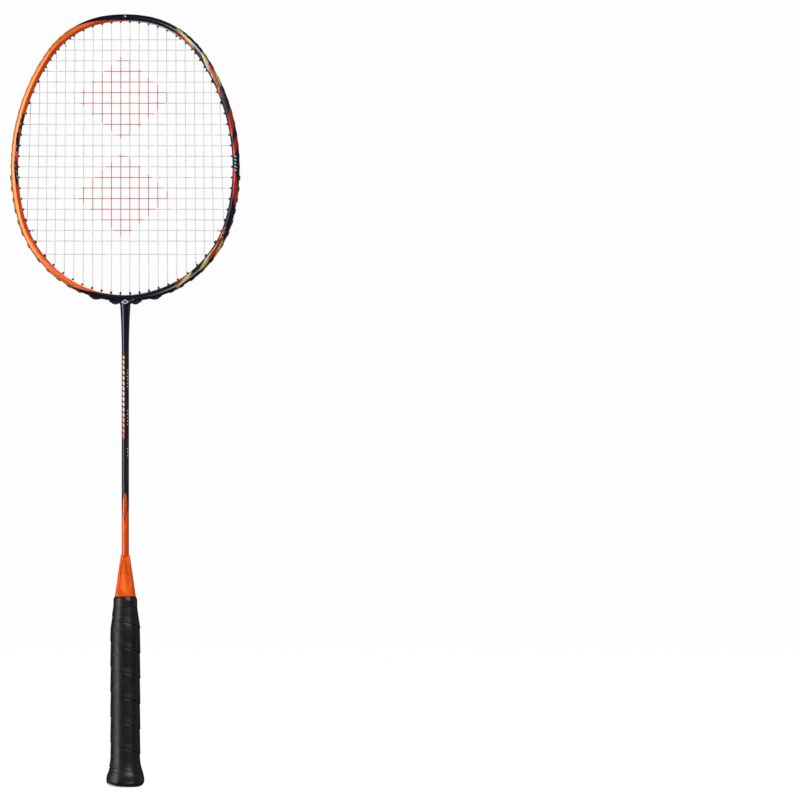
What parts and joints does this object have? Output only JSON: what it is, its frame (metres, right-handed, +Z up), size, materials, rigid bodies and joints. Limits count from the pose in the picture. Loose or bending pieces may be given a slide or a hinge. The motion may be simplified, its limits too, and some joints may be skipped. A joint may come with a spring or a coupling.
{
  "type": "badminton racket",
  "caption": "Strung badminton racket: oval hollow hoop, woven string bed in grommets, slim shaft, tapered cone cap and tape-wrapped octagonal handle with a flared butt.",
  "frame": {"origin": "middle of the butt's flat underside", "axes": "+Z up the handle and shaft to the top of the head, +X to the right across the string bed, front face of the string bed towards -Y"},
  "size_m": [0.2022, 0.031, 0.675],
  "materials": {
    "head_paint": "clear-coated paint over carbon fibre",
    "core_resin": "moulded graphite resin",
    "shaft_paint": "clear-coated paint over carbon fibre",
    "cone_paint": "painted moulding",
    "handle_wood": "bare wood",
    "staple_steel": "bright wire",
    "grip_polyurethane": "tacky synthetic leather",
    "collar_rubber": "smooth band",
    "butt_plastic": "soft-touch",
    "badge_plastic": "satin blank badge",
    "string_nylon": "multifilament nylon",
    "grommet_nylon": "moulded nylon"
  },
  "bodies": {
    "root": {"head_frame": "head_paint", "t_joint": "core_resin", "shaft": "shaft_paint", "cone_cap": "cone_paint", "handle_core": "handle_wood", "grip_staple": "staple_steel", "grip_tape": "grip_polyurethane", "grip_collar": "collar_rubber", "butt_cap": "butt_plastic", "butt_badge": "badge_plastic", "grommet_strip_top": "grommet_nylon", "grommet_strip_shoulder_left": "grommet_nylon", "grommet_strip_shoulder_right": "grommet_nylon", "grommet_strip_side_left": "grommet_nylon", "grommet_strip_side_right": "grommet_nylon", "grommet_strip_lower_left": "grommet_nylon", "grommet_strip_lower_right": "grommet_nylon", "single_grommets_left": "grommet_nylon", "single_grommets_right": "grommet_nylon", "throat_grommets_left": "grommet_nylon", "throat_grommets_right": "grommet_nylon", "main_string": "string_nylon", "cross_string": "string_nylon", "main_knots": "string_nylon", "cross_knots": "string_nylon"}
  },
  "joints": []
}
